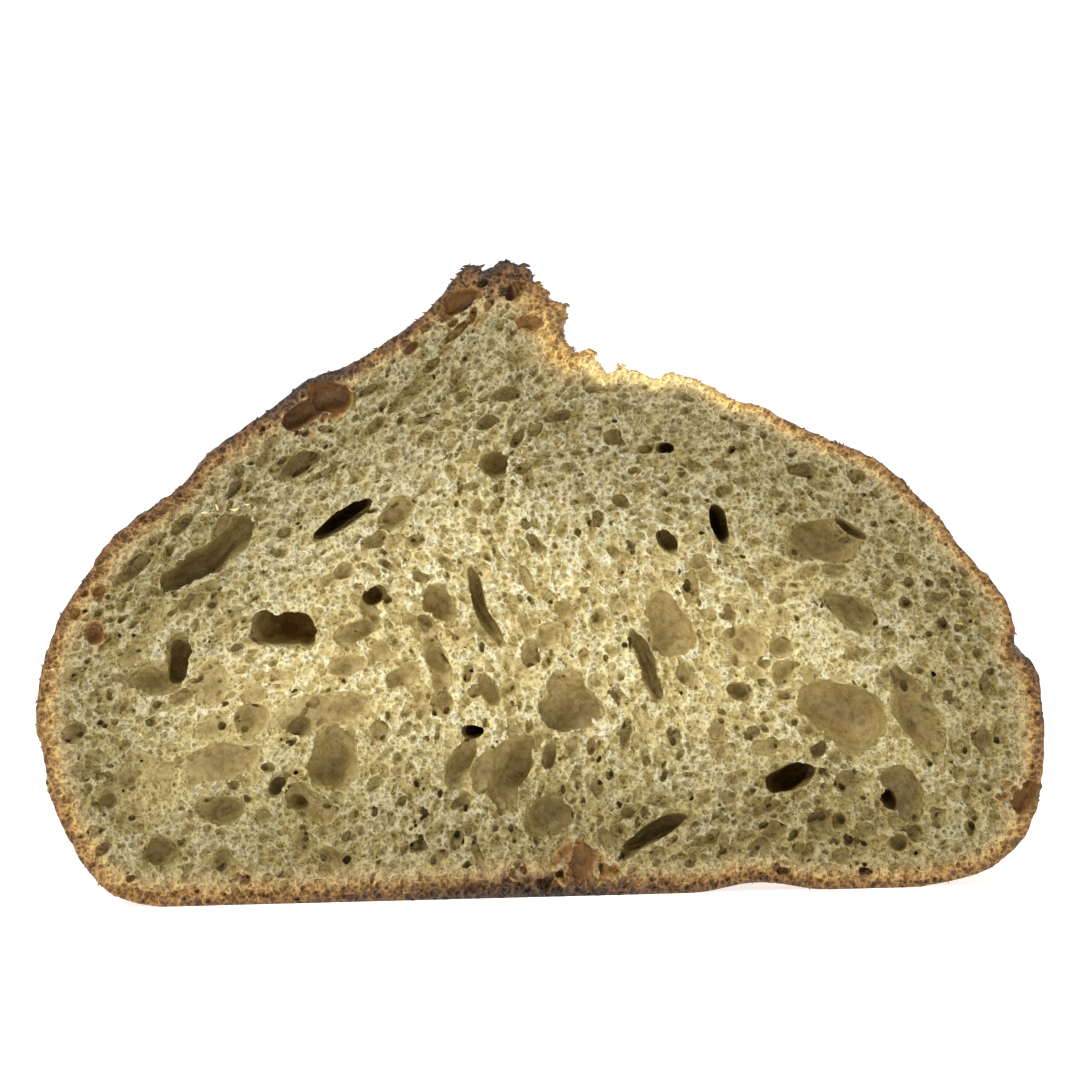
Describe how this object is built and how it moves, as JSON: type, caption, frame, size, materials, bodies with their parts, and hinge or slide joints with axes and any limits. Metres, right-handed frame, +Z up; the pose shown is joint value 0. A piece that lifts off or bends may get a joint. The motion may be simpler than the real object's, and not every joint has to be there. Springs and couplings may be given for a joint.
{
  "type": "sourdough loaf",
  "caption": "Half of a crusty country loaf, cut across to show its open crumb, with a raised ear, a torn bloom and a flat base.",
  "frame": {"origin": "under the middle of the loaf's box, on the surface that it stands on", "axes": "+Z up, +X to the right along the width of the cut face, +Y from the cut face towards the rounded end"},
  "size_m": [0.202, 0.112, 0.1272],
  "materials": {
    "baked_dough": "matt golden-brown crust, and a cream-coloured crumb that shines a little inside its larger gas pockets"
  },
  "bodies": {
    "root": {"loaf": "baked_dough"}
  },
  "joints": []
}
